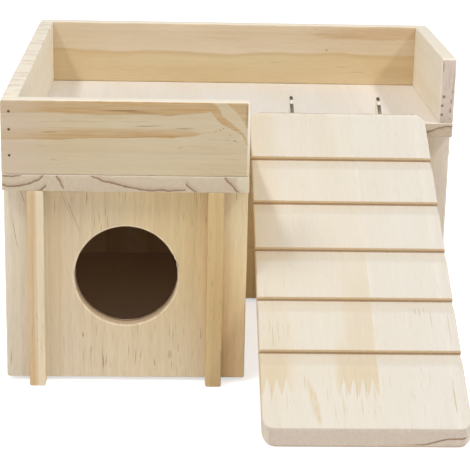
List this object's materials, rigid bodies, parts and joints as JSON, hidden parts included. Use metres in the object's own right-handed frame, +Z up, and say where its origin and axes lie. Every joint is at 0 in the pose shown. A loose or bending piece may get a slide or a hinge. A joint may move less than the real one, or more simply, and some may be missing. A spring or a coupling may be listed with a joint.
{
  "type": "wooden reptile hide",
  "caption": "Box-shaped wooden hide with a round entrance, an L-shaped roof tray with guard rails and a wide notched ramp that hangs on the tray by wire hooks.",
  "frame": {"origin": "on the floor, in the middle of the whole footprint, ramp included", "axes": "+Z up, +Y towards the back of the house, +X to the right as seen from the entrance"},
  "size_m": [0.3, 0.3906, 0.183],
  "materials": {
    "pine": "sanded, unfinished",
    "pine_post": "sanded, unfinished",
    "pine_rail": "sanded, unfinished",
    "pale_pine": "sanded, unfinished",
    "wire": "bright wire",
    "nail": "dull"
  },
  "bodies": {
    "house": {"front_panel": "pine", "left_wall": "pine", "back_wall": "pine", "right_wall": "pine", "inner_wall": "pine", "recess_wall": "pine", "front_left_post": "pine_post", "front_right_post": "pine_post", "deck": "pale_pine", "front_rail": "pine_rail", "left_rail": "pine_rail", "back_rail": "pine_rail", "right_rail": "pine_rail", "rail_nails": "nail"},
    "ramp": {"ramp_left_stave": "pale_pine", "ramp_middle_stave": "pale_pine", "ramp_edge_strip": "pale_pine", "left_hook": "wire", "right_hook": "wire"}
  },
  "joints": [
    {"name": "ramp_lift", "type": "slide", "parent": "house", "child": "ramp", "axis": [0, 0, 1], "range_m": [0, 0.03]}
  ]
}
